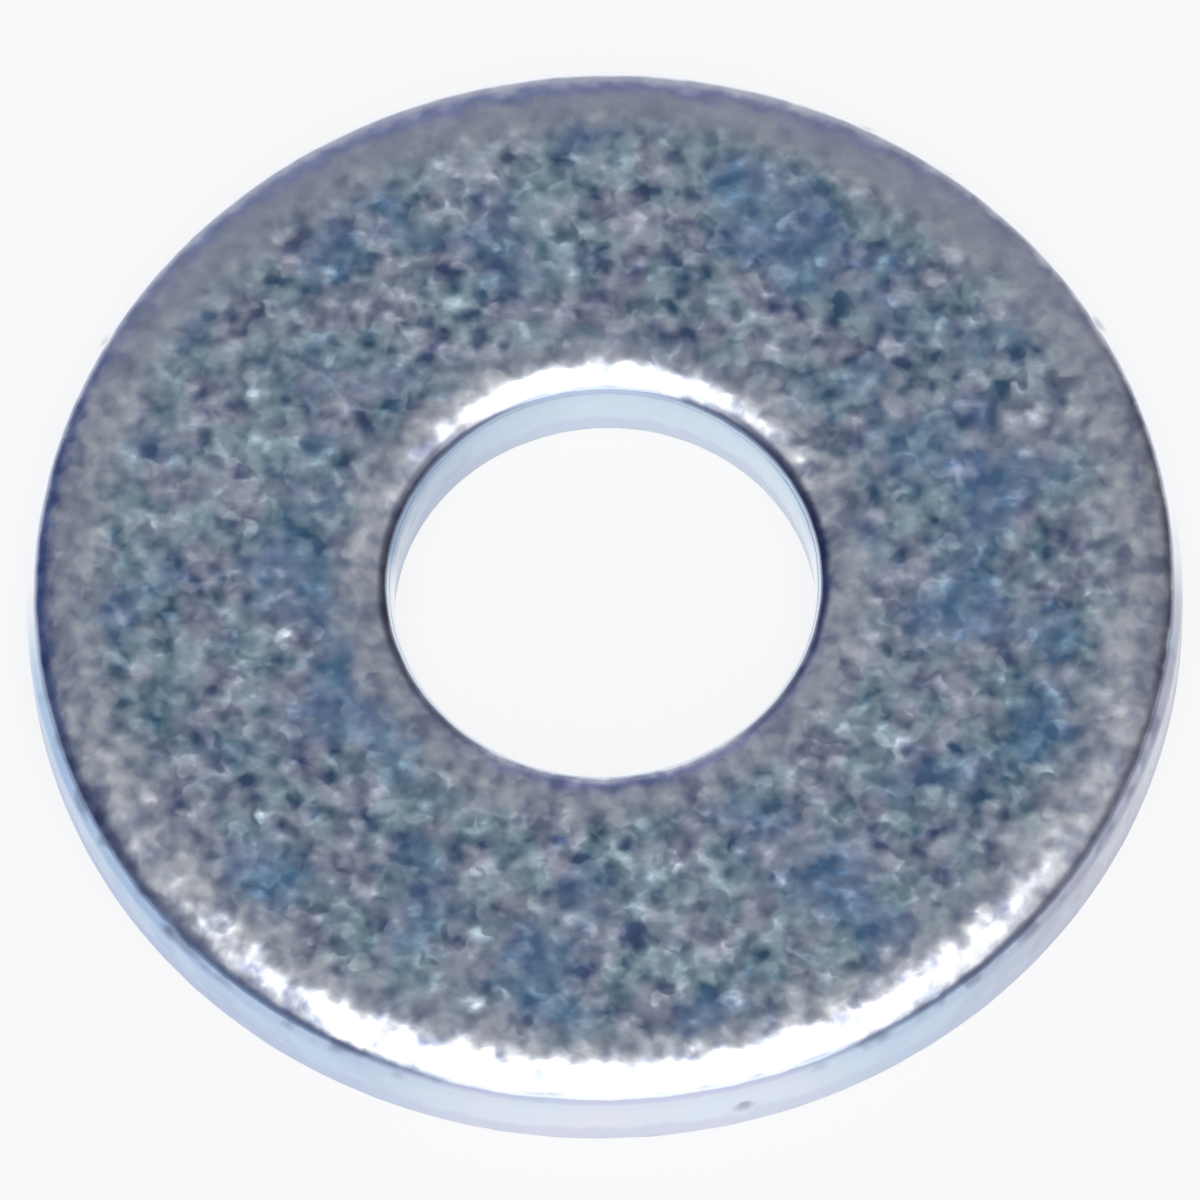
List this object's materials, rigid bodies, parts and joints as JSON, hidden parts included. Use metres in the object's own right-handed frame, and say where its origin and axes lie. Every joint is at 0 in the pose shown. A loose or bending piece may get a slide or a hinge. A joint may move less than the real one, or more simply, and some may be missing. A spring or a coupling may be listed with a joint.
{
  "type": "flat washer",
  "caption": "Large-series plain flat washer: a zinc-plated steel ring with softly rolled upper edges, which spreads a bolt's or nut's load.",
  "frame": {"origin": "on the washer's axis, in the plane of its underside", "axes": "+Z along the washer's axis, from the square-edged underside to the face with the rolled edges; X and Y in the plane of the ring, with no preferred direction"},
  "size_m": [0.0236, 0.0236, 0.0019],
  "materials": {
    "zinc_plate": "electroplated zinc with a clear blue passivate, satin and finely mottled on the faces, brighter and smoother on the rolled edges and the sheared walls"
  },
  "bodies": {
    "root": {"washer": "zinc_plate"}
  },
  "joints": []
}
